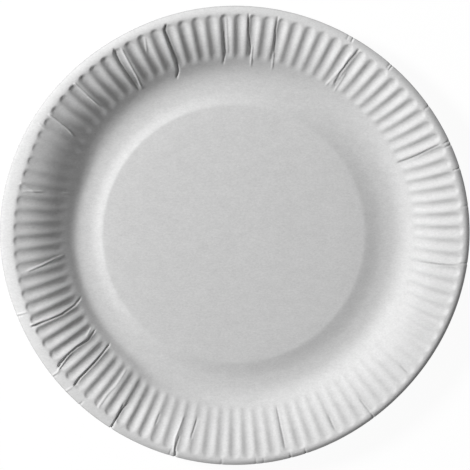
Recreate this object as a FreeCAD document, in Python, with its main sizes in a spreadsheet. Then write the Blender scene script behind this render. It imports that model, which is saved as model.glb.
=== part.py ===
"""Paper plate pressed from one round sheet of board, with a raised base and a fluted wall.

Millimetres. The plate stands on the flat channel round its base, at Z = 0, and the Z axis is
the plate's own axis. A sketch in the XZ plane draws the sheet's upper face along one crest,
from the axis to the lip. The underside follows it at the thickness of the board.
"""
import FreeCAD, Part
import math
import os

import Sketcher
from FreeCAD import Vector

# Driving dimensions, lengths in millimetres and angles in degrees
SIZES = (
    ("plate_diameter", "230", "across the outer edge of the rim"),
    ("sheet_thickness", "0.45", "of the pressed board"),
    ("base_diameter", "133.4", "across the crisp edge of the raised base"),
    ("base_rise", "1.5", "of the base above the channel round it"),
    ("step_width", "8.7", "of the curved step from the base down into the channel"),
    ("channel_width", "2.4", "of the flat channel, which the plate stands on"),
    ("foot_radius", "10", "of the bend from the channel into the wall"),
    ("wall_angle", "34", "of the wall's straight part above level"),
    ("shoulder_radius", "8", "of the bend from the wall to the brim"),
    ("brim_width", "3.2", "of the level brim outside the flutes"),
    ("lip_width", "1.3", "of each of the lip's two bands, turned down round the brim"),
    ("lip_angle", "30", "that each fold of the lip turns down"),
    ("flute_count", "100", "flutes round the wall"),
    ("flute_depth", "1.3", "of a flute at the shoulder, below the crests beside it"),
    ("flute_floor", "2", "width of a flute's floor at the shoulder"),
    ("flute_ramp", "6", "length up the wall in which a flute sinks in"),
    ("flute_end", "1.4", "length of the slope that closes a flute at the brim"),
)

# Radii and heights on the sheet's upper face that follow from them
PLACES = (
    ("base_edge", "sizes.base_diameter / 2"),
    ("base_height", "sizes.sheet_thickness + sizes.base_rise"),
    ("channel_start", "base_edge + sizes.step_width"),
    ("channel_end", "channel_start + sizes.channel_width"),
    ("step_radius", "(sizes.step_width ^ 2 + sizes.base_rise ^ 2) / (2 * sizes.base_rise)"),
    ("step_centre", "sizes.sheet_thickness + step_radius"),
    ("foot_centre", "sizes.sheet_thickness + sizes.foot_radius"),
    ("wall_start", "channel_end + sizes.foot_radius * sin(sizes.wall_angle)"),
    ("wall_foot", "foot_centre - sizes.foot_radius * cos(sizes.wall_angle)"),
    ("lip_end", "sizes.plate_diameter / 2"),
    ("lip_fold", "lip_end - sizes.lip_width * cos(2 * sizes.lip_angle)"),
    ("brim_end", "lip_fold - sizes.lip_width * cos(sizes.lip_angle)"),
    ("brim_start", "brim_end - sizes.brim_width"),
    ("wall_end", "brim_start - sizes.shoulder_radius * sin(sizes.wall_angle)"),
    ("wall_top", "wall_foot + (wall_end - wall_start) * tan(sizes.wall_angle)"),
    ("shoulder_centre", "wall_top - sizes.shoulder_radius * cos(sizes.wall_angle)"),
    ("brim_height", "shoulder_centre + sizes.shoulder_radius"),
    ("fold_height", "brim_height - sizes.lip_width * sin(sizes.lip_angle)"),
    ("lip_height", "fold_height - sizes.lip_width * sin(2 * sizes.lip_angle)"),
)

# The bends of the section line, from the base to the brim: the side of it that the centre is on,
# the centre's distance from the axis and its height, the radius of the bend, and the distances
# from the axis at which it starts and ends
BENDS = (
    ("above", "places.channel_start", "places.step_centre", "places.step_radius",
     "places.base_edge", "places.channel_start"),
    ("above", "places.channel_end", "places.foot_centre", "sizes.foot_radius",
     "places.channel_end", "places.wall_start"),
    ("below", "places.brim_start", "places.shoulder_centre", "sizes.shoulder_radius",
     "places.wall_end", "places.brim_start"),
)

# The folds outside them, each a distance from the axis and a height
FOLDS = (
    ("places.brim_end", "places.brim_height"),
    ("places.lip_fold", "places.fold_height"),
    ("places.lip_end", "places.lip_height"),
)

AXIS = Vector(0, 0, 1)
MIDDLE = Vector(0, 0, 0)
TOLERANCE = 0.0001

# How a sketch counts the points of its lines and arcs, and its own origin
START, END, CENTRE = range(1, 4)
ROOT = (-1, START)


def fill_sheet(doc, name, rows, lead=""):
    """A spreadsheet with one named value to a row."""
    cells = doc.addObject("Spreadsheet::Sheet", name)
    for line, (alias, content, *note) in enumerate(rows, start=1):
        cells.set(f"A{line}", alias)
        cells.set(f"B{line}", lead + content)
        cells.setAlias(f"B{line}", alias)
        cells.set(f"C{line}", "".join(note))
    doc.recompute()
    return {f"{name}.{row[0]}": float(cells.get(row[0])) for row in rows}


def bind(sketch, kind, points, value, formula):
    """A dimension of the sketch that follows the spreadsheets."""
    index = sketch.addConstraint(Sketcher.Constraint(kind, *points, value))
    sketch.setExpression(f"Constraints[{index}]", formula)


def draw_bend(sketch, bend, values):
    """One arc of the section line, bound to its centre, its radius and the radii of its ends."""
    above = bend[0] == "above"
    formulas = bend[1:]
    centre_x, centre_z, radius, first_x, last_x = (values[formula] for formula in formulas)
    side = -1 if above else 1
    turns = [side * (math.pi / 2 - math.asin((x - centre_x) / radius)) for x in (first_x, last_x)]
    circle = Part.Circle(Vector(centre_x, centre_z, 0), AXIS, radius)
    arc = sketch.addGeometry(Part.ArcOfCircle(circle, min(turns), max(turns)), False)
    first, last = (START, END) if above else (END, START)
    bind(sketch, "DistanceX", (*ROOT, arc, CENTRE), centre_x, formulas[0])
    bind(sketch, "DistanceY", (*ROOT, arc, CENTRE), centre_z, formulas[1])
    bind(sketch, "Radius", (arc,), radius, formulas[2])
    bind(sketch, "DistanceX", (*ROOT, arc, first), first_x, formulas[3])
    bind(sketch, "DistanceX", (*ROOT, arc, last), last_x, formulas[4])
    return (arc, first), (arc, last)


def draw_section(doc, values):
    """The sheet's upper face along a crest: its bends and the straight lines that join them."""
    sketch = doc.addObject("Sketcher::SketchObject", "crest_section")
    sketch.Placement = FreeCAD.Placement(MIDDLE, FreeCAD.Rotation(Vector(1, 0, 0), 90))
    ends = [draw_bend(sketch, bend, values) for bend in BENDS]
    base = Part.LineSegment(Vector(0, values["places.base_height"], 0), sketch.getPoint(*ends[0][0]))
    line = sketch.addGeometry(base, False)
    sketch.addConstraint(Sketcher.Constraint("Vertical", *ROOT, line, START))
    sketch.addConstraint(Sketcher.Constraint("Horizontal", line))
    sketch.addConstraint(Sketcher.Constraint("Coincident", line, END, *ends[0][0]))
    for (_, last), (first, _) in zip(ends, ends[1:]):
        line = sketch.addGeometry(Part.LineSegment(sketch.getPoint(*last), sketch.getPoint(*first)), False)
        sketch.addConstraint(Sketcher.Constraint("Coincident", line, START, *last))
        sketch.addConstraint(Sketcher.Constraint("Coincident", line, END, *first))
    before = ends[-1][1]
    for radius, height in FOLDS:
        corner = Vector(values[radius], values[height], 0)
        line = sketch.addGeometry(Part.LineSegment(sketch.getPoint(*before), corner), False)
        sketch.addConstraint(Sketcher.Constraint("Coincident", line, START, *before))
        bind(sketch, "DistanceX", (*ROOT, line, END), corner.x, radius)
        bind(sketch, "DistanceY", (*ROOT, line, END), corner.y, height)
        before = (line, END)
    doc.recompute()
    return sorted(sketch.Shape.Edges, key=lambda edge: edge.CenterOfMass.x)


def ends_of(edge):
    """The inner and the outer end of an edge of the section."""
    return sorted((vertex.Point for vertex in edge.Vertexes), key=lambda point: point.x)


def arc_between(centre, radius, first_x, last_x, side):
    """An arc in the XZ plane on the upper (1) or lower (-1) side of its centre."""
    def at(x):
        return centre + Vector(x - centre.x, 0, side * math.sqrt(radius ** 2 - (x - centre.x) ** 2))
    return Part.Arc(at(first_x), at((first_x + last_x) / 2), at(last_x)).toShape()


def under_normal(edge, point):
    """The direction square to the section line at one of its points, towards the underside."""
    along = edge.tangentAt(edge.Curve.parameter(point))
    return Vector(along.z, 0, -along.x) * math.copysign(1, along.x)


def underside(section, thickness):
    """The section of the underside, as far below the upper face as the board is thick."""
    joints = [ends_of(section[0])[0] + under_normal(section[0], ends_of(section[0])[0]) * thickness]
    for before, after in zip(section, section[1:]):
        joint = ends_of(after)[0]
        normals = under_normal(before, joint), under_normal(after, joint)
        share = thickness / (1 + normals[0].dot(normals[1]))
        joints.append(joint + (normals[0] + normals[1]) * share)
    joints.append(ends_of(section[-1])[1] + under_normal(section[-1], ends_of(section[-1])[1]) * thickness)
    edges = []
    for edge, first, last in zip(section, joints, joints[1:]):
        if isinstance(edge.Curve, Part.Line):
            edges.append(Part.LineSegment(first, last).toShape())
        else:
            centre = edge.Curve.Center
            side = -1 if centre.z > edge.CenterOfMass.z else 1
            edges.append(arc_between(centre, edge.Curve.Radius - side * thickness, first.x, last.x, side))
    return edges


def turned(shape, angle):
    """A copy turned about the plate's axis, the angle in radians."""
    copy = shape.copy()
    copy.rotate(MIDDLE, AXIS, math.degrees(angle))
    return copy


def at_azimuth(point, angle):
    """A point of the section, moved round the axis."""
    return Vector(point.x * math.cos(angle), point.x * math.sin(angle), point.z)


def flat_face(*points):
    return Part.Face(Part.makePolygon([*points, points[0]]))


def ring_face(outer, inner):
    return Part.Face(outer).cut(Part.Face(inner))


def circle_through(point):
    return Part.Wire(Part.makeCircle(point.x, Vector(0, 0, point.z), AXIS))


def crest_polygon(point, pitch, count):
    """The line from crest to crest through one point of the section."""
    corners = [at_azimuth(point, number * pitch) for number in range(count)]
    return Part.makePolygon([*corners, corners[0]])


def flute_faces(section, values, pitch):
    """One face of the sheet, upper or under, from crest to crest across a single flute."""
    foot, wall, shoulder, brim, *lip = section
    half = pitch / 2
    depth = values["sizes.flute_depth"]
    crest_foot, crest_top = ends_of(wall)
    brim_start = ends_of(brim)[0]
    centre = shoulder.Curve.Center
    radius = shoulder.Curve.Radius
    end_share = values["sizes.flute_end"] / values["sizes.shoulder_radius"]
    crest_arc = arc_between(centre, radius, crest_top.x, centre.x - radius * end_share, 1)
    crest_end = ends_of(crest_arc)[1]

    # The floor's straight line meets the crest's on the axis, so that each flank is flat
    drop = Vector(0, 0, -depth)
    floor_top = crest_top + drop
    floor_slope = (crest_top.z - crest_foot.z) / (crest_top.x - crest_foot.x) - depth / crest_top.x
    ramp_x = crest_foot.x + values["sizes.flute_ramp"] * math.cos(math.radians(values["sizes.wall_angle"]))
    floor_foot = floor_top - Vector(1, 0, floor_slope) * (crest_top.x - ramp_x)
    floor_arc = crest_arc.translated(drop)
    floor_end = crest_end + drop
    floor_half = values["sizes.flute_floor"] / (2 * values["places.wall_end"])

    def both(point, angle):
        return at_azimuth(point, -angle), at_azimuth(point, angle)

    def strip(edge, angle):
        return Part.makeRuledSurface(turned(edge, -angle), turned(edge, angle))

    faces = [strip(floor_arc, floor_half)]
    faces += [strip(edge, half) for edge in (foot, brim, *lip)]
    rows = [both(crest_foot, half), both(floor_foot, floor_half), both(floor_top, floor_half)]
    faces += [flat_face(*lower, *reversed(upper)) for lower, upper in zip(rows, rows[1:])]
    faces.append(flat_face(*both(floor_end, floor_half), *reversed(both(brim_start, half))))
    for side in (-1, 1):
        crest, floor = side * half, side * floor_half
        faces.append(flat_face(at_azimuth(crest_foot, crest), at_azimuth(crest_top, crest),
                               at_azimuth(floor_top, floor), at_azimuth(floor_foot, floor)))
        faces.append(Part.makeRuledSurface(turned(crest_arc, crest), turned(floor_arc, floor)))
        faces.append(flat_face(at_azimuth(crest_end, crest), at_azimuth(floor_end, floor),
                               at_azimuth(brim_start, crest)))
    return faces


def sheet_face(section, values, disc_height):
    """All of the sheet's upper face or all of its underside."""
    _, step, channel, *outside = section
    count = round(values["sizes.flute_count"])
    pitch = 2 * math.pi / count
    step_end = ends_of(step)[1]
    centre = step.Curve.Center
    disc_edge = Vector(centre.x - math.sqrt(step.Curve.Radius ** 2 - (centre.z - disc_height) ** 2),
                       0, disc_height)
    step = arc_between(centre, step.Curve.Radius, disc_edge.x, step_end.x, -1)
    faces = [Part.Face(circle_through(disc_edge)), step.revolve(MIDDLE, AXIS, 360)]
    faces.append(ring_face(crest_polygon(ends_of(channel)[1], pitch, count), circle_through(step_end)))
    flute = Part.Compound(flute_faces(outside, values, pitch))
    faces += [turned(flute, (number + 0.5) * pitch) for number in range(count)]
    return faces


def press_plate(crest, values):
    """The closed skin of the sheet, made a solid."""
    thickness = values["sizes.sheet_thickness"]
    under = underside(crest, thickness)
    faces = sheet_face(crest, values, values["places.base_height"])
    faces += sheet_face(under, values, values["sizes.base_rise"])
    pitch = 2 * math.pi / values["sizes.flute_count"]
    rim = Part.LineSegment(ends_of(under[-1])[1], ends_of(crest[-1])[1]).toShape()
    for number in range(round(values["sizes.flute_count"])):
        faces.append(Part.makeRuledSurface(turned(rim, number * pitch), turned(rim, (number + 1) * pitch)))
    skin = Part.Compound([face for shape in faces for face in shape.Faces])
    skin.sewShape(TOLERANCE)
    solid = Part.makeSolid(skin.Shells[0])
    if solid.Volume < 0:
        solid.reverse()
    return solid


def check(doc, part):
    """Stop unless every object was worked out and the plate is one sound solid."""
    for item in doc.Objects:
        if "Invalid" in item.State or "Error" in item.State:
            raise RuntimeError(f"{item.Label} could not be worked out")
    if part.Shape.isNull() or not part.Shape.isValid() or not part.Shape.isClosed():
        raise RuntimeError(f"{part.Label} is not a sound solid")


def main():
    doc = FreeCAD.newDocument("paper_plate")
    values = fill_sheet(doc, "sizes", SIZES)
    values.update(fill_sheet(doc, "places", PLACES, lead="="))
    crest = draw_section(doc, values)
    plate = doc.addObject("Part::Feature", "plate")
    plate.Label = "plate"
    plate.Shape = press_plate(crest, values)
    plate.Placement = FreeCAD.Placement()
    doc.recompute()
    check(doc, plate)
    os.makedirs("parts", exist_ok=True)
    plate.Shape.exportStep("parts/plate.step")
    box = plate.Shape.BoundBox
    print(f"plate {box.XLength:.2f} x {box.YLength:.2f} x {box.ZLength:.2f} mm,"
          f" {plate.Shape.Volume:.0f} cubic mm, {len(plate.Shape.Faces)} faces")


main()
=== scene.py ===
"""Paper plate: the pressed sheet in close detail, its board and the studio round it.

Metres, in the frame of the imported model: the plate stands on Z = 0 and its axis is Z. The
sheet is one skin, worked out in polar coordinates from the section along a crest, the flutes
pressed into the wall and the folds that the pressing left in the rim.
"""
import math

import bpy
import numpy
from mathutils import Matrix, Vector


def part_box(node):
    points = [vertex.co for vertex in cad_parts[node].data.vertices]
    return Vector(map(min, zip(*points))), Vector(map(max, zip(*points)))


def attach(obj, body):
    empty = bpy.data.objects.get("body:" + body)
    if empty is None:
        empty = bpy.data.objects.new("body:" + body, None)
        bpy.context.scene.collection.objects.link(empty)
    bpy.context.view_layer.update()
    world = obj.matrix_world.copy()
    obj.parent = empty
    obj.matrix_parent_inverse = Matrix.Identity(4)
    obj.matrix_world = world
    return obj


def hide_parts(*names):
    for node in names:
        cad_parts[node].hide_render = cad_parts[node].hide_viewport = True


bl_info = {
    "name": "Paper Plate",
    "version": (1, 0, 0),
    "blender": (4, 5, 0),
    "location": "3D View > Sidebar > Paper Plate",
    "description": "Presses a fluted paper plate and sets it in a plain studio",
    "category": "Add Mesh",
}

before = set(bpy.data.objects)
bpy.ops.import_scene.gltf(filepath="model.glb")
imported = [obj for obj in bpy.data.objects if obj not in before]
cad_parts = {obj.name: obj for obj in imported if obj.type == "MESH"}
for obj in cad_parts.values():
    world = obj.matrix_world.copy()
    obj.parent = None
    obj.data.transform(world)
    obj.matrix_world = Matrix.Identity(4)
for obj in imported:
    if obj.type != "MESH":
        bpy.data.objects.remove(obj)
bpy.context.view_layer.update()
LOWEST, HIGHEST = (Vector(corner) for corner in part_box("plate"))
MM = 0.001
TURN = 2 * math.pi

# Overall sizes, from the plate's solid
RIM_RADIUS = (HIGHEST.x - LOWEST.x) / 2
PLATE_HEIGHT = HIGHEST.z - LOWEST.z

# Painted shade and light in the paper's colour: how much darker the bottom of a deep fold is
# painted, for its shade, and, as shares of that, how much paler the brim and two places on the lip
# are painted, for the light they catch, and how much darker the cut edge is painted, for its shade
PAINTED_SHADE_STRENGTH = 0.35
BRIM_PAINTED_LIGHT = 0.17
LIP_PAINTED_LIGHT = 0.3
EDGE_PAINTED_SHADE = 0.75
# The azimuths of the lip's two places of painted light, and the power that keeps that light near
# them
LIP_LIGHT_BEARINGS = (math.radians(62), math.radians(197))
LIP_NARROWNESS = 8

# The pressing's faults. A bearing is an azimuth; a stretch of the rim is four azimuths in
# degrees, where a fault sets in, is whole, begins to fade and is gone.
# How far the base, the foot of the wall, the brim and the flutes lie off centre
BASE_OFFSET = 1.0 * MM
BASE_BEARING = math.radians(165)
FOOT_OFFSET = 2.05 * MM
FOOT_BEARING = math.radians(322)
BRIM_OFFSET = 0.4 * MM
FLUTE_OFFSET = 0.6 * MM
# How far the wall's left side is drawn in, and where, each with its share of that
SIDE_DRAW = 1.6 * MM
SIDE_STRETCHES = ((1.0, (140, 160, 228, 242)), (0.35, (178, 196, 228, 242)))
# How far the lip stands out at the left, and how much too small the whole rim is
RIM_BULGE = 1.3 * MM
BULGE_STRETCH = (108, 156, 170, 204)
RIM_SHRINK = 0.2 * MM
# How often each wave goes round the rim, its height, and in degrees the azimuth of a high point
RIM_WAVES = ((1, 0.26 * MM, 322), (2, 0.12 * MM, 20), (3, 0.24 * MM, 20), (4, 0.34 * MM, 4))
# How much of the flutes' depth is missing, and where
WEAK_FLUTES = ((0.45, (132, 152, 182, 206)), (0.40, (232, 258, 322, 345)))
# How far inwards of their place the flutes begin, and where
EARLY_FLUTES = ((0.5 * MM, (198, 212, 262, 285)), (-1.1 * MM, (62, 84, 150, 172)))
# Where the flutes are shallower from the middle of the wall outwards, by how much of the depth,
# and how much further out they reach there
SHALLOW_STRETCH = (182, 200, 226, 240)
SHALLOW_SHARE = 0.10
SHALLOW_REACH = 0.7 * MM
# How much the depths differ from flute to flute, and the seed that they are drawn with
FLUTE_SPREAD = 0.09
FLUTE_SEED = 7
# How far a nick draws the edge inwards, as a share of its depth
NICK_DRAW = 0.5

# A flute's depth where it begins, and what it loses again towards its outer end, both as shares
# of its full depth
INNER_DEPTH = 0.62
OUTER_LOSS = 0.27

# The raised base: its crown and where that fades, then the bend at its edge, as shares of the
# way to the wall where the bend is whole and where it eases out, towards the light and away
# from it, and how much higher the edge stands away from the light and at the left
BASE_CROWN = 0.22 * MM
CROWN_FADE_START = 0.8
CROWN_FADE_REACH = 3 * MM
BEND_WHOLE = 0.24
NEAR_EASE = 0.24
FAR_EASE = 0.42
FAR_HEIGHTENING = 0.25
LEFT_HEIGHTENING = 0.16
LEFT_BEARING = math.radians(225)

# Distances from the axis: where the foot's offset has faded and the brim's begins, and where the
# flutes reach their full depth
UPPER_WALL = 0.85 * RIM_RADIUS
FULL_DEPTH = 0.93 * RIM_RADIUS
# Bands of the distance from the axis, from where something sets in to where it is whole
SIDE_BAND = (80 * MM, 88 * MM)
BRIM_BAND = (UPPER_WALL, 0.95 * RIM_RADIUS)
WAVE_BAND = (UPPER_WALL, RIM_RADIUS)
BULGE_BAND = (0.967 * RIM_RADIUS, RIM_RADIUS)
OUTER_LOSS_BAND = (0.92 * RIM_RADIUS, 0.96 * RIM_RADIUS)
SHALLOW_BAND = (0.84 * RIM_RADIUS, 0.87 * RIM_RADIUS)
# The bands of the painted light on the brim and the lip and of the painted shade along the cut edge
BRIM_LIGHT_BAND = (0.8 * RIM_RADIUS, 0.92 * RIM_RADIUS)
LIP_LIGHT_BAND = (0.95 * RIM_RADIUS, 0.97 * RIM_RADIUS)
EDGE_SHADE_BAND = (RIM_RADIUS - 0.6 * MM, RIM_RADIUS)
# The band in which the offsets of the side and the brim fade again
OFFSET_END = (0.975 * RIM_RADIUS, RIM_RADIUS)
# A fold sets in round the inner end of its course and ends round the outer one, and the nicks
# set in round the top of the brim: each a band of the distance from that place
FOLD_START = (-1.0 * MM, 1.5 * MM)
FOLD_END = (-0.8 * MM, 0.8 * MM)
NICK_START = (-0.8 * MM, 0.6 * MM)

# Each fold: what it is, its depth and its half width in millimetres, and its course from the
# rim inwards as pairs of azimuth in degrees and distance from the axis in millimetres
FOLDS = (
    ("valley", 0.49, 0.62, ((24.7, 110), (24.5, 104), (24.0, 96), (23.7, 89))),
    ("valley", 0.67, 0.66, ((56.7, 111), (57.1, 103), (57.2, 97), (56.6, 91))),
    ("ridge", 0.36, 0.49, ((57.9, 106), (57.6, 100), (58.5, 88))),
    ("ridge", 0.31, 0.49, ((55.9, 98), (55.2, 88))),
    ("valley", 0.58, 0.44, ((78.5, 111), (78.5, 105), (77.9, 99), (77.4, 94))),
    ("ridge", 0.36, 0.44, ((77.8, 98), (76.8, 86))),
    ("valley", 0.52, 0.40, ((85.7, 111), (85.5, 102), (84.5, 95), (84.4, 91))),
    ("ridge", 0.42, 0.39, ((84.0, 95), (83.8, 86))),
    ("valley", 0.52, 0.44, ((92.2, 103), (92.2, 97), (92.0, 93), (92.8, 87))),
    ("ridge", 0.30, 0.49, ((91.3, 109), (91.2, 92))),
    ("valley", 1.00, 0.55, ((106.3, 111), (107.2, 109), (107.0, 93), (107.5, 88), (108.8, 85))),
    ("ridge", 0.40, 0.39, ((112.4, 109), (113.7, 102))),
    ("ridge", 0.62, 0.44, ((119.0, 109), (119.7, 94), (120.5, 88))),
    ("valley", 0.54, 0.49, ((120.6, 111), (121.4, 104), (121.6, 88))),
    ("ridge", 0.76, 0.33, ((133.7, 110), (133.9, 94))),
    ("ridge", 0.67, 0.35, ((143.9, 110), (144.2, 104), (144.8, 98), (145.7, 95))),
    ("ridge", 0.31, 0.39, ((147.2, 112), (147.6, 107))),
    ("ridge", 0.40, 0.66, ((163.0, 109), (164.6, 101))),
    ("ridge", 0.36, 0.44, ((165.0, 107), (164.2, 98))),
    ("ridge", 0.36, 0.39, ((163.8, 89), (163.6, 86))),
    ("ridge", 0.54, 0.44, ((186.8, 104), (186.0, 97), (185.0, 91), (184.6, 87))),
    ("ridge", 0.29, 0.49, ((197.3, 115), (197.4, 109))),
    ("valley", 0.85, 0.51, ((201.5, 110), (201.9, 101), (202.2, 95), (201.7, 88), (200.4, 84.5))),
    ("ridge", 0.49, 0.44, ((201.0, 110), (201.1, 103))),
    ("valley", 0.89, 0.49, ((214.2, 109), (213.3, 103), (213.0, 97), (213.5, 91), (212.6, 86))),
    ("ridge", 0.62, 0.39, ((214.9, 110), (213.6, 103), (213.2, 99))),
    ("ridge", 0.54, 0.44, ((212.2, 90), (211.3, 87))),
    ("ridge", 0.33, 0.49, ((215.3, 115), (215.2, 109))),
    ("valley", 1.07, 0.53, ((220.8, 109), (220.3, 105), (220.2, 95), (220.0, 90), (219.6, 85))),
    ("ridge", 0.27, 0.44, ((220.4, 115), (220.7, 110))),
    ("ridge", 0.54, 0.71, ((229.4, 109), (229.2, 102), (229.7, 96), (229.5, 88))),
    ("valley", 1.00, 0.49, ((235.3, 115), (235.1, 108), (235.0, 104))),
    ("valley", 0.54, 0.44, ((235.0, 104.5), (234.5, 101))),
    ("valley", 0.54, 0.44, ((235.0, 104.5), (235.6, 100))),
    ("valley", 0.40, 0.49, ((245.5, 103), (245.5, 97))),
    ("valley", 0.45, 0.40, ((253.2, 115), (252.7, 110), (252.9, 104))),
    ("ridge", 0.40, 0.49, ((252.5, 113), (251.9, 106), (252.6, 95))),
    ("valley", 0.50, 0.42, ((256.2, 104), (256.9, 95))),
    ("valley", 0.45, 0.42, ((282.1, 109), (282.3, 91))),
    ("valley", 0.31, 0.44, ((296.2, 109), (296.4, 102))),
    ("valley", 0.40, 0.42, ((306.6, 114), (306.5, 103))),
    ("valley", 0.31, 0.44, ((321.0, 110), (321.3, 105))),
    ("valley", 0.45, 0.42, ((352.5, 110), (352.1, 104), (351.5, 94))),
)

# Short nicks across the turned-down lip: their half width, then each one's azimuth in degrees and
# its depth in millimetres
NICK_HALF_WIDTH = 0.4 * MM
NICKS = (
    (7.8, 0.19), (17.3, 0.33), (23.5, 0.28), (24.5, 0.30), (34.4, 0.28), (47.7, 0.30), (48.4, 0.28),
    (59.3, 0.30), (60.6, 0.22), (197.8, 0.19), (215.6, 0.22), (225.4, 0.30), (235.3, 0.50),
    (251.7, 0.19), (253.2, 0.47), (265.2, 0.19), (274.0, 0.19), (276.0, 0.19), (283.0, 0.30),
    (287.0, 0.28), (306.6, 0.19), (353.3, 0.33),
)

# The felted surface: the clouds' scale as a share of the fibres', how much shorter both are one
# way than the other, and how strongly each shows, in parts of the look's clouding
CLOUD_SCALE = 0.22
FIBRE_STRETCH = 1.6
CLOUD_CONTRAST = 1.5
FIBRE_CONTRAST = 4

# The mesh's rows on the base as shares of its radius, and how far past the foot of the wall a
# row may lie and still have the base's columns
BASE_ROWS = (0.02, 0.45, 0.78, 0.84, 0.89, 0.93, 0.97)
SEAM = 0.2 * MM
# How many columns the mesh has round the base and to each flute of the wall's two faces
BASE_COLUMNS = 200
WALL_COLUMNS_A_FLUTE = 9
UNDERSIDE_COLUMNS_A_FLUTE = 6
# In degrees, how close columns are at a fold, how close they may come, and how far beside a fold
# the close ones reach
CLOSE_STEP = 0.2
LEAST_STEP = 0.09
FOLD_MARGIN = 0.45


class PlateSizes(bpy.types.PropertyGroup):
    """Sizes of the pressed sheet."""

    board: bpy.props.FloatProperty(
        name="Board", description="Thickness of the pressed board",
        default=0.45 * MM, unit="LENGTH", precision=5)
    base_radius: bpy.props.FloatProperty(
        name="Base radius", description="From the axis to where the raised base turns down",
        default=0.565 * RIM_RADIUS, unit="LENGTH", precision=5)
    base_rise: bpy.props.FloatProperty(
        name="Base rise", description="Of the raised base above the channel round it",
        default=1.5 * MM, unit="LENGTH", precision=5)
    wall_start: bpy.props.FloatProperty(
        name="Wall start", description="From the axis to the channel and the foot of the wall",
        default=0.6645 * RIM_RADIUS, unit="LENGTH", precision=5)
    wall_slope: bpy.props.FloatProperty(
        name="Wall slope", description="Of the wall where it runs into the brim",
        default=math.radians(15), subtype="ANGLE")
    brim_bend: bpy.props.FloatProperty(
        name="Brim bend", description="Radius of the bend from the wall to the top of the brim",
        default=5.0 * MM, unit="LENGTH", precision=5)
    lip_width: bpy.props.FloatProperty(
        name="Lip width", description="From the top of the brim to the edge, seen from above",
        default=2.9 * MM, unit="LENGTH", precision=5)
    lip_angle: bpy.props.FloatProperty(
        name="Lip angle", description="How steeply the lip's edge points down",
        default=math.radians(30), subtype="ANGLE")
    flutes: bpy.props.IntProperty(
        name="Flutes", description="How many flutes go round the wall", default=100, min=12)
    flute_depth: bpy.props.FloatProperty(
        name="Flute depth", description="Of a flute below the crests beside it, near the brim",
        default=1.3 * MM, unit="LENGTH", precision=5)
    flute_start: bpy.props.FloatProperty(
        name="Flute start", description="From the axis to where the flutes begin to sink in",
        default=0.762 * RIM_RADIUS, unit="LENGTH", precision=5)
    flute_end: bpy.props.FloatProperty(
        name="Flute end", description="From the axis to the rounded outer end of each flute",
        default=0.9725 * RIM_RADIUS, unit="LENGTH", precision=5)
    flute_ramp: bpy.props.FloatProperty(
        name="Flute ramp", description="Distance over which a flute sinks in at its inner end",
        default=4.0 * MM, unit="LENGTH", precision=5)
    flute_close: bpy.props.FloatProperty(
        name="Flute close", description="Distance over which a flute closes at its outer end",
        default=1.8 * MM, unit="LENGTH", precision=5)
    end_rounding: bpy.props.FloatProperty(
        name="End rounding", description="How much further inwards a flute ends beside a crest",
        default=3.0 * MM, unit="LENGTH", precision=5)


class PaperLook(bpy.types.PropertyGroup):
    """Colour and surface of the uncoated board."""

    paper: bpy.props.FloatVectorProperty(
        name="Paper", description="Colour of the bare board", subtype="COLOR", size=3,
        default=(0.70, 0.70, 0.70), min=0, max=1)
    cloud: bpy.props.FloatProperty(
        name="Clouding", description="How much the fibres' clumping changes the colour",
        default=0.11, min=0, max=1, subtype="FACTOR")
    fibre_size: bpy.props.FloatProperty(
        name="Fibre size", description="Spacing of the fibre texture",
        default=1.25 * MM, unit="LENGTH", precision=5)
    fibre_relief: bpy.props.FloatProperty(
        name="Fibre relief", description="Height of the fibre texture",
        default=0.07 * MM, unit="LENGTH", precision=6)
    roughness: bpy.props.FloatProperty(
        name="Roughness", description="Of the uncoated surface", default=0.82, min=0, max=1,
        subtype="FACTOR")


class StudioLook(bpy.types.PropertyGroup):
    """Camera and lights, by their direction from the plate."""

    view_tilt: bpy.props.FloatProperty(
        name="View tilt", description="Of the view away from straight down",
        default=math.radians(10.472), subtype="ANGLE")
    view_azimuth: bpy.props.FloatProperty(
        name="View azimuth", description="Direction in which the view is tilted",
        default=math.radians(94.27), subtype="ANGLE")
    view_turn: bpy.props.FloatProperty(
        name="View turn", description="Direction on the plate that points right in the picture",
        default=math.radians(-1.14), subtype="ANGLE")
    view_distance: bpy.props.FloatProperty(
        name="View distance", description="From the camera to the middle of the plate",
        default=0.638, unit="LENGTH")
    view_height: bpy.props.FloatProperty(
        name="View height", description="Of the point on the axis that the camera looks at",
        default=12.45 * MM, unit="LENGTH", precision=5)
    view_shift: bpy.props.FloatVectorProperty(
        name="View shift", description="Of the camera's picture, as shares of its width", size=2,
        default=(-0.0016, 0.0112), precision=4)
    lens: bpy.props.FloatProperty(
        name="Lens", description="Focal length in millimetres on a 36 mm sensor", default=98.34)
    key_azimuth: bpy.props.FloatProperty(
        name="Key azimuth", description="Direction that the main light comes from",
        default=math.radians(151.85), subtype="ANGLE")
    key_elevation: bpy.props.FloatProperty(
        name="Key elevation", description="Of the main light above the floor",
        default=math.radians(36.5), subtype="ANGLE")
    key_distance: bpy.props.FloatProperty(
        name="Key distance", description="From the plate to the main light",
        default=1.3, unit="LENGTH")
    key_size: bpy.props.FloatProperty(
        name="Key size", description="Across the main light", default=0.3, unit="LENGTH")
    key_power: bpy.props.FloatProperty(
        name="Key power", description="Of the main light", default=18.9, unit="POWER")
    sky: bpy.props.FloatProperty(
        name="Sky", description="Strength of the even light from all round", default=0.11)
    table_grey: bpy.props.FloatProperty(
        name="Table grey", description="How much of the light the table gives back", default=0.6)
    table_white: bpy.props.FloatProperty(
        name="Table white", description="Strength of the white that the table shows", default=1.06)
    table_share: bpy.props.FloatProperty(
        name="Table share", description="How much of what is seen of the table is that white",
        default=0.9)


def smooth(low, high, value):
    """0 below low, 1 above high, and a smooth rise between them."""
    share = numpy.clip((value - low) / (high - low), 0, 1)
    return share * share * (3 - 2 * share)


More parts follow.
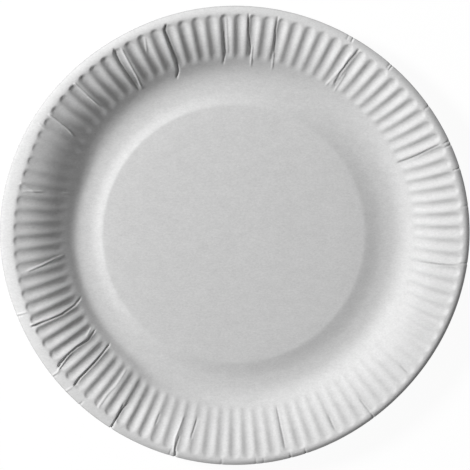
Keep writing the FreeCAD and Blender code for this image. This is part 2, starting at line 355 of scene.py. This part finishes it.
def stretch(azimuth, turns):
    """1 along a stretch of the rim and 0 away from it."""
    sets_in, whole, fades, gone = numpy.radians(turns)
    return smooth(sets_in, whole, azimuth) * (1 - smooth(fades, gone, azimuth))


def aside(radius, azimuth, degrees):
    """Distance along the rim from the azimuth that is given in degrees."""
    return radius * numpy.radians((numpy.degrees(azimuth) - degrees + 180) % 360 - 180)


def brim_crown(sizes):
    """Distance from the axis to the top of the brim, where the lip begins to turn down."""
    return RIM_RADIUS - sizes.lip_width


def base_section(sizes, samples=24, crowding=1.25):
    """The base and the channel as if level; the base's rise is added by base_lift."""
    width = sizes.wall_start - sizes.base_radius
    radii = [share * sizes.base_radius for share in BASE_ROWS]
    radii += (sizes.base_radius + width * numpy.linspace(0, 1, samples) ** crowding).tolist()
    return [(radius, sizes.board) for radius in radii]


def wall_section(sizes, samples=50, foot_handle=0.433, brim_handle=0.654, crowding=1.3):
    """The section from the channel to the brim, one smooth curve with a handle at each end."""
    end_x = brim_crown(sizes) - sizes.brim_bend * math.sin(sizes.wall_slope)
    end_z = PLATE_HEIGHT - sizes.brim_bend * (1 - math.cos(sizes.wall_slope))
    run = end_x - sizes.wall_start
    handle = brim_handle * run
    corners = numpy.array((
        (sizes.wall_start, sizes.board),
        (sizes.wall_start + foot_handle * run, sizes.board),
        (end_x - handle, end_z - handle * math.tan(sizes.wall_slope)),
        (end_x, end_z)))
    share = 1 - (1 - numpy.linspace(0, 1, samples)[1:, None]) ** crowding
    weights = [math.comb(3, k) * share ** k * (1 - share) ** (3 - k) for k in range(4)]
    return sum(weight * corner for weight, corner in zip(weights, corners)).tolist()


def lip_section(sizes, samples=12, easing=1.7):
    """The lip from the top of the brim to its edge, which bends most near the top."""
    share = numpy.linspace(0, 1, samples)
    slope = numpy.tan(sizes.lip_angle * (1 - (1 - share) ** easing))
    step = sizes.lip_width / (samples - 1)
    fall = numpy.concatenate(([0], numpy.cumsum(slope[1:] + slope[:-1]) * step / 2))
    return list(zip(brim_crown(sizes) + share * sizes.lip_width, PLATE_HEIGHT - fall))


def crest_section(sizes):
    """Distances from the axis and heights along a crest, from the base to the lip's edge."""
    points = base_section(sizes) + wall_section(sizes)
    for angle in numpy.linspace(sizes.wall_slope, 0, 5)[1:-1]:
        points.append((brim_crown(sizes) - sizes.brim_bend * math.sin(angle),
                       PLATE_HEIGHT - sizes.brim_bend * (1 - math.cos(angle))))
    return numpy.array(points + lip_section(sizes))


def off_base(sizes, radius):
    """0 on the raised base and 1 from the foot of the wall outwards."""
    return numpy.clip((radius - sizes.base_radius) / (sizes.wall_start - sizes.base_radius), 0, 1)


def base_lift(sizes, radius, azimuth, samples=201):
    """How far the base stands up: it sinks a little, bends quickly and eases out to the channel."""
    share = numpy.linspace(0, 1, samples)
    far = 0.5 + 0.5 * numpy.cos(azimuth - FOOT_BEARING)
    left = numpy.maximum(numpy.cos(azimuth - LEFT_BEARING), 0)
    outwards = numpy.minimum(radius / sizes.base_radius, 1)
    lift = numpy.zeros_like(radius)
    for weight, ease in (((1 - far) * (1 + LEFT_HEIGHTENING * left * outwards), NEAR_EASE),
                         (far * (1 + FAR_HEIGHTENING * outwards), FAR_EASE)):
        slope = smooth(0, BEND_WHOLE, share) * (1 - smooth(ease, 1, share))
        fall = numpy.cumsum(slope) / slope.sum()
        lift += weight * (1 - numpy.interp(off_base(sizes, radius), share, fall))
    fade_start = CROWN_FADE_START * sizes.base_radius
    level = 1 - smooth(fade_start, sizes.base_radius + CROWN_FADE_REACH, radius) ** 2
    return sizes.base_rise * lift + BASE_CROWN * level


def drawn_in(sizes, radius, azimuth):
    """How far the pressing sits off its true place, measured outwards from the axis."""
    step = off_base(sizes, radius)
    towards_foot = numpy.cos(azimuth - FOOT_BEARING)
    foot = step * (1 - smooth(sizes.wall_start, UPPER_WALL, radius))
    inside = 1 - smooth(*OFFSET_END, radius)
    offset = (1 - step) * BASE_OFFSET * numpy.cos(azimuth - BASE_BEARING)
    offset += FOOT_OFFSET * foot * towards_foot
    offset += BRIM_OFFSET * smooth(*BRIM_BAND, radius) * inside * towards_foot
    for share, turns in SIDE_STRETCHES:
        drawn = share * SIDE_DRAW * stretch(azimuth, turns)
        offset -= drawn * smooth(*SIDE_BAND, radius) * inside
    out_of_round = -RIM_SHRINK
    for waves, height, bearing in RIM_WAVES:
        out_of_round += height * numpy.cos(waves * (azimuth - math.radians(bearing)))
    offset += out_of_round * smooth(*WAVE_BAND, radius)
    return offset + RIM_BULGE * smooth(*BULGE_BAND, radius) * stretch(azimuth, BULGE_STRETCH)


def flute_shape(phase, groove=0.31):
    """1 in the middle of a flute and 0 on a crest: a wide round groove, a narrow round crest."""
    away = numpy.abs(phase)
    crest = 0.5 - groove
    hollow = 1 - away ** 2 / (0.5 * groove)
    ridge = (0.5 - away) ** 2 / (0.5 * crest)
    return numpy.where(away < groove, hollow, ridge)


def flute_drop(sizes, radius, azimuth, uneven):
    """How far the flutes sink below the crests, less where the pressing was weak."""
    shift = FLUTE_OFFSET * numpy.sin(azimuth - FOOT_BEARING) / radius
    turns = (azimuth + shift) / TURN * sizes.flutes
    number = numpy.floor(turns).astype(int) % sizes.flutes
    phase = turns - numpy.floor(turns) - 0.5
    weak = sum(share * stretch(azimuth, turned) for share, turned in WEAK_FLUTES)
    early = sum(distance * stretch(azimuth, turned) for distance, turned in EARLY_FLUTES)
    shallow = stretch(azimuth, SHALLOW_STRETCH)
    start = sizes.flute_start - early
    sink = smooth(start, start + sizes.flute_ramp, radius)
    deepen = INNER_DEPTH + (1 - INNER_DEPTH) * smooth(start, FULL_DEPTH, radius)
    deepen -= OUTER_LOSS * smooth(*OUTER_LOSS_BAND, radius)
    deepen -= SHALLOW_SHARE * shallow * smooth(*SHALLOW_BAND, radius)
    end = sizes.flute_end + SHALLOW_REACH * shallow - sizes.end_rounding * (2 * phase) ** 2
    close = 1 - smooth(end - sizes.flute_close, end, radius)
    depth = sizes.flute_depth * uneven[number] * (1 - weak)
    return depth * deepen * sink * close * flute_shape(phase)


def fold_rise(radius, azimuth):
    """The ridges and valleys that the pressing left, and the painted shade in the valleys' bottoms.
    """
    rise = numpy.zeros_like(radius)
    shade = numpy.zeros_like(radius)
    for kind, depth, half_width, course in FOLDS:
        azimuths, radii = numpy.array(course[::-1]).T
        across = aside(radius, azimuth, numpy.interp(radius / MM, radii, azimuths))
        window = smooth(*FOLD_START, radius - radii[0] * MM)
        window = window * (1 - smooth(*FOLD_END, radius - radii[-1] * MM))
        form = window * numpy.exp(-(across / (half_width * MM)) ** 2)
        if kind == "valley":
            rise -= depth * MM * form
            # Painted shade at the valley's bottom, stronger the deeper the valley
            shade = numpy.maximum(shade, min(depth, 1.0) * form)
        else:
            rise += depth * MM * form
    return rise, shade


def nick_rise(sizes, radius, azimuth):
    """The nicks in the turned-down lip."""
    rise = numpy.zeros_like(radius)
    window = smooth(*NICK_START, radius - brim_crown(sizes))
    for degrees, depth in NICKS:
        across = aside(radius, azimuth, degrees)
        rise -= depth * MM * window * numpy.exp(-(across / NICK_HALF_WIDTH) ** 2)
    return rise


def press(sizes, section, azimuths, uneven):
    """The upper face's points, a row to each point of the section, and their painted light and
    shade.
    """
    radius, azimuth = numpy.meshgrid(section[:, 0], azimuths, indexing="ij")
    height = numpy.repeat(section[:, 1:2], len(azimuths), axis=1)
    height = height - flute_drop(sizes, radius, azimuth, uneven)
    height = height + base_lift(sizes, radius, azimuth)
    radius = radius + drawn_in(sizes, radius, azimuth)
    rise, shade = fold_rise(radius, azimuth)
    # Painted light on the brim, standing in for the light it catches
    shade = shade - BRIM_PAINTED_LIGHT * smooth(*BRIM_LIGHT_BAND, radius)
    # Painted shade along the cut edge, a dark line standing in for the edge's shade
    shade = shade + EDGE_PAINTED_SHADE * smooth(*EDGE_SHADE_BAND, section[:, :1])
    # Painted light at two places of the lip, standing in for the light they catch
    lip_light_mask = smooth(*LIP_LIGHT_BAND, section[:, :1])
    for bearing in LIP_LIGHT_BEARINGS:
        near = numpy.maximum(numpy.cos(azimuth - bearing), 0) ** LIP_NARROWNESS
        shade = shade - LIP_PAINTED_LIGHT * lip_light_mask * near
    nicks = nick_rise(sizes, radius, azimuth)
    height = height + rise + nicks
    radius = radius + NICK_DRAW * nicks
    points = numpy.stack((radius * numpy.cos(azimuth), radius * numpy.sin(azimuth), height), axis=-1)
    return points, shade


def around(points):
    """The directions square to the skin at each of its points, pointing up."""
    along = numpy.gradient(points, axis=0)
    ring = numpy.concatenate((points[:, -1:], points, points[:, :1]), axis=1)
    across = ring[:, 2:] - ring[:, :-2]
    normal = numpy.cross(along, across)
    return normal / numpy.linalg.norm(normal, axis=-1, keepdims=True)


def underside(sizes, points):
    """The sheet's lower face below points of its upper face."""
    return points - sizes.board * around(points)


def even_columns(count):
    """Azimuths of columns at even distances round the plate."""
    return numpy.linspace(0, TURN, count, endpoint=False)


def close_columns(count):
    """Azimuths of even columns and of closer ones at the folds and nicks, none nearly doubled."""
    columns = {round(number * 360 / count, 4) for number in range(count)}
    for _, _, _, course in FOLDS:
        low = min(azimuth for azimuth, _ in course) - FOLD_MARGIN
        high = max(azimuth for azimuth, _ in course) + FOLD_MARGIN
        columns.update(numpy.arange(low, high, CLOSE_STEP).round(4).tolist())
    for azimuth, _ in NICKS:
        columns.update((azimuth + CLOSE_STEP * numpy.arange(-2, 3)).round(4).tolist())
    kept = []
    for column in sorted(columns):
        if not kept or column - kept[-1] > LEAST_STEP:
            kept.append(column)
    return numpy.radians(numpy.array(kept))


class Skin:
    """A mesh under way: rings of points joined by quads."""

    def __init__(self):
        self.points = []
        self.faces = []
        self.shades = []

    def add_rings(self, rings, shades, flip=False):
        """Add a strip of rings of the same number of points, and give its first point's number."""
        first = len(self.points)
        rows, columns = rings.shape[:2]
        self.points += rings.reshape(-1, 3).tolist()
        self.shades += shades.reshape(-1).tolist()
        for row in range(rows - 1):
            for column in range(columns):
                after = (column + 1) % columns
                here = first + row * columns
                quad = (here + column, here + columns + column, here + columns + after, here + after)
                self.faces.append(quad[::-1] if flip else quad)
        return first

    def fill_ring(self, first, columns, flip=False):
        """Fill the ring that starts at one point with a single face."""
        ring = tuple(range(first, first + columns))
        self.faces.append(ring[::-1] if flip else ring)


def press_sheet(sizes):
    """The plate's mesh, its upper face, its edge and its underside."""
    random = numpy.random.default_rng(FLUTE_SEED)
    uneven = 1 + FLUTE_SPREAD * random.standard_normal(sizes.flutes).clip(-2, 2)
    section = crest_section(sizes)
    inside = section[section[:, 0] < sizes.wall_start + SEAM]
    outside = section[section[:, 0] >= inside[-1, 0]]
    # Every third row, counted from the edge, is enough for the underside. The first of them lies
    # one row out from the base, so the underside has a narrow open ring there.
    sparse = outside[::-3][::-1]
    wall_columns = close_columns(WALL_COLUMNS_A_FLUTE * sizes.flutes)
    under_columns = even_columns(UNDERSIDE_COLUMNS_A_FLUTE * sizes.flutes)
    base, base_shades = press(sizes, inside, even_columns(BASE_COLUMNS), uneven)
    wall, wall_shades = press(sizes, outside, wall_columns, uneven)
    under, under_shades = press(sizes, sparse, under_columns, uneven)
    edge = underside(sizes, wall)[-1:]
    skin = Skin()
    first = skin.add_rings(base, base_shades)
    skin.fill_ring(first, BASE_COLUMNS)
    skin.add_rings(numpy.concatenate((wall, edge)),
                   numpy.concatenate((wall_shades, wall_shades[-1:])))
    first = skin.add_rings(underside(sizes, base), base_shades, flip=True)
    skin.fill_ring(first, BASE_COLUMNS, flip=True)
    skin.add_rings(underside(sizes, under), under_shades, flip=True)
    mesh = bpy.data.meshes.new("plate_sheet")
    mesh.from_pydata(skin.points, [], skin.faces)
    mesh.shade_smooth()
    # The attribute carries the painted shade and light that darken and lighten the paper's colour
    painted_shade_and_light = mesh.attributes.new("painted_shade_and_light", "FLOAT", "POINT")
    painted_shade_and_light.data.foreach_set("value", skin.shades)
    mesh.update()
    return mesh


class Shade:
    """A socket that takes part in Python expressions, each adding its Math node."""

    def __init__(self, tree, socket):
        self.tree = tree
        self.socket = socket

    def combine(self, operation, *values):
        """The result of a Math node that takes these values."""
        node = self.tree.add("ShaderNodeMath", {"operation": operation}, dict(enumerate(values)))
        return Shade(self.tree, node.outputs[0])

    def __add__(self, other):
        return self.combine("ADD", self, other)

    def __radd__(self, other):
        return self.combine("ADD", other, self)

    def __sub__(self, other):
        return self.combine("SUBTRACT", self, other)

    def __rsub__(self, other):
        return self.combine("SUBTRACT", other, self)

    def __mul__(self, other):
        return self.combine("MULTIPLY", self, other)

    def __rmul__(self, other):
        return self.combine("MULTIPLY", other, self)


class NodeTree:
    """A material or world whose nodes come from one method."""

    def __init__(self, owner):
        owner.use_nodes = True
        self.nodes = owner.node_tree.nodes
        self.links = owner.node_tree.links
        self.nodes.clear()

    def add(self, kind, settings=None, inputs=None):
        """A node, its settings made first and then the values or links of its sockets."""
        node = self.nodes.new(kind)
        for name, value in (settings or {}).items():
            setattr(node, name, value)
        for name, value in (inputs or {}).items():
            self.feed(node.inputs[name], value)
        return node

    def feed(self, socket, value):
        """Link a socket to what the value stands for, or set it."""
        if isinstance(value, Shade):
            self.links.new(value.socket, socket)
        elif isinstance(value, bpy.types.NodeSocket):
            self.links.new(value, socket)
        else:
            socket.default_value = value

    def value(self, kind, settings=None, inputs=None, output=0):
        """One output of a new node, ready for expressions."""
        return Shade(self, self.add(kind, settings, inputs).outputs[output])


def paper_material(look):
    """Uncoated board: clouded by its fibres, with a fine felted relief and painted shade and light.
    """
    material = bpy.data.materials.new("paper")
    tree = NodeTree(material)
    place = tree.add("ShaderNodeTexCoord").outputs["Object"]
    grain = 1 / look.fibre_size
    stretched = tree.add("ShaderNodeMapping", {}, {
        "Vector": place, "Scale": (1.0, FIBRE_STRETCH, 1.0)}).outputs[0]
    clouds = tree.value("ShaderNodeTexNoise", {}, {
        "Vector": stretched, "Scale": CLOUD_SCALE * grain, "Detail": 4.0, "Roughness": 0.62})
    fibres = tree.value("ShaderNodeTexNoise", {}, {
        "Vector": stretched, "Scale": grain, "Detail": 5.0, "Roughness": 0.68, "Distortion": 0.6})
    painted_shade_and_light = tree.value("ShaderNodeAttribute", {"attribute_name": "painted_shade_and_light"}, output="Fac")
    clouding = (clouds - 0.5) * (CLOUD_CONTRAST * look.cloud)
    mottle = clouding + (fibres - 0.5) * (FIBRE_CONTRAST * look.cloud)
    # The colour is darkened by painted shade in the folds and along the edge, and lightened by
    # painted light on the brim and the lip
    tone = 1 + mottle - PAINTED_SHADE_STRENGTH * painted_shade_and_light
    colour = tree.add("ShaderNodeVectorMath", {"operation": "SCALE"},
                      {0: tuple(look.paper), "Scale": tone}).outputs[0]
    relief = tree.add("ShaderNodeBump", {}, {
        "Height": fibres, "Distance": look.fibre_relief, "Strength": 1.0})
    surface = tree.add("ShaderNodeBsdfPrincipled", {}, {
        "Base Color": colour, "Roughness": look.roughness, "Specular IOR Level": 0.3,
        "Normal": relief.outputs[0]})
    tree.add("ShaderNodeOutputMaterial", {}, {"Surface": surface.outputs[0]})
    return material


def background_share(tree):
    """1 for rays that show the background, straight or in a reflection, and 0 for light."""
    rays = tree.add("ShaderNodeLightPath").outputs
    shown = Shade(tree, rays["Is Camera Ray"])
    for name in ("Is Glossy Ray", "Is Transmission Ray"):
        shown = shown.combine("MAXIMUM", shown, rays[name])
    return shown


def floor_material(look):
    """A white table that shows white, and slightly less where the plate's shadow lies."""
    material = bpy.data.materials.new("floor")
    tree = NodeTree(material)
    grey = look.table_grey
    table = tree.add("ShaderNodeBsdfDiffuse", {}, {"Color": (grey, grey, grey, 1.0)})
    white = tree.add("ShaderNodeEmission", {}, {
        "Color": (1.0, 1.0, 1.0, 1.0), "Strength": look.table_white})
    seen = tree.add("ShaderNodeMixShader", {}, {
        0: background_share(tree) * look.table_share, 1: table.outputs[0], 2: white.outputs[0]})
    tree.add("ShaderNodeOutputMaterial", {}, {"Surface": seen.outputs[0]})
    return material


def from_plate(azimuth, elevation, distance, height=0.0):
    """A point at a distance and in a direction from the axis of the plate."""
    level = math.cos(elevation)
    direction = Vector((level * math.cos(azimuth), level * math.sin(azimuth), math.sin(elevation)))
    return Vector((0, 0, height)) + distance * direction


class PLATE_OT_sheet(bpy.types.Operator):
    """Press the plate's sheet in full detail, in place of the plain solid"""

    bl_idname = "paper_plate.sheet"
    bl_label = "Press the sheet"
    bl_options = {"REGISTER", "UNDO"}

    def execute(self, context):
        sheet = bpy.data.objects.new("plate_sheet", press_sheet(context.scene.plate_sizes))
        context.scene.collection.objects.link(sheet)
        sheet.data.materials.append(paper_material(context.scene.paper_look))
        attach(sheet, "root")
        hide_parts("plate")
        return {"FINISHED"}


class PLATE_OT_studio(bpy.types.Operator):
    """Set up the floor, the camera and the lights"""

    bl_idname = "paper_plate.studio"
    bl_label = "Set up the studio"
    bl_options = {"REGISTER", "UNDO"}

    def execute(self, context):
        look = context.scene.studio_look
        self.lay_floor(context, look)
        self.place_camera(context, look)
        self.place_lights(context, look)
        context.scene.view_settings.view_transform = "Standard"
        return {"FINISHED"}

    def lay_floor(self, context, look):
        half = 20 * RIM_RADIUS
        mesh = bpy.data.meshes.new("floor")
        corners = [(-half, -half, 0), (half, -half, 0), (half, half, 0), (-half, half, 0)]
        mesh.from_pydata(corners, [], [(0, 1, 2, 3)])
        mesh.materials.append(floor_material(look))
        floor = bpy.data.objects.new("floor", mesh)
        context.scene.collection.objects.link(floor)

    def place_camera(self, context, look):
        data = bpy.data.cameras.new("camera")
        data.lens = look.lens
        data.sensor_width = 36
        data.clip_start = 0.01
        data.shift_x, data.shift_y = look.view_shift
        camera = bpy.data.objects.new("camera", data)
        target = Vector((0, 0, look.view_height))
        eye = from_plate(look.view_azimuth, math.pi / 2 - look.view_tilt, look.view_distance,
                         look.view_height)
        back = (eye - target).normalized()
        upward = Vector((-math.sin(look.view_turn), math.cos(look.view_turn), 0))
        right = upward.cross(back).normalized()
        turned = Matrix((right, back.cross(right), back)).transposed()
        camera.matrix_world = Matrix.Translation(eye) @ turned.to_4x4()
        context.scene.collection.objects.link(camera)
        context.scene.camera = camera

    def place_lights(self, context, look):
        data = bpy.data.lights.new("key", "AREA")
        data.shape = "DISK"
        data.size = look.key_size
        data.energy = look.key_power
        key = bpy.data.objects.new("key", data)
        key.location = from_plate(look.key_azimuth, look.key_elevation, look.key_distance)
        key.rotation_euler = (-key.location).to_track_quat("-Z", "Y").to_euler()
        context.scene.collection.objects.link(key)
        world = bpy.data.worlds.new("world")
        context.scene.world = world
        tree = NodeTree(world)
        white = tree.add("ShaderNodeBackground", {}, {"Strength": 1.0})
        sky = tree.add("ShaderNodeBackground", {}, {"Strength": look.sky})
        seen = tree.add("ShaderNodeMixShader", {}, {
            0: background_share(tree), 1: sky.outputs[0], 2: white.outputs[0]})
        for background in (white, sky):
            background.inputs["Color"].default_value = (1.0, 1.0, 1.0, 1.0)
        tree.add("ShaderNodeOutputWorld", {}, {"Surface": seen.outputs[0]})


class PLATE_PT_panel(bpy.types.Panel):
    """Lists what the plate is made with"""

    bl_label = "Paper Plate"
    bl_idname = "PLATE_PT_panel"
    bl_space_type = "VIEW_3D"
    bl_region_type = "UI"
    bl_category = "Paper Plate"

    def draw(self, context):
        for group, operator in (("plate_sizes", "paper_plate.sheet"), ("paper_look", None),
                                ("studio_look", "paper_plate.studio")):
            settings = getattr(context.scene, group)
            column = self.layout.column()
            for name in settings.__annotations__:
                column.prop(settings, name)
            if operator:
                column.operator(operator)


CLASSES = (PlateSizes, PaperLook, StudioLook, PLATE_OT_sheet, PLATE_OT_studio, PLATE_PT_panel)


def register():
    for item in CLASSES:
        bpy.utils.register_class(item)
    bpy.types.Scene.plate_sizes = bpy.props.PointerProperty(type=PlateSizes)
    bpy.types.Scene.paper_look = bpy.props.PointerProperty(type=PaperLook)
    bpy.types.Scene.studio_look = bpy.props.PointerProperty(type=StudioLook)


def unregister():
    for name in ("plate_sizes", "paper_look", "studio_look"):
        delattr(bpy.types.Scene, name)
    for item in reversed(CLASSES):
        bpy.utils.unregister_class(item)


def main():
    register()
    bpy.ops.paper_plate.sheet()
    bpy.ops.paper_plate.studio()


if __name__ == "__main__":
    main()
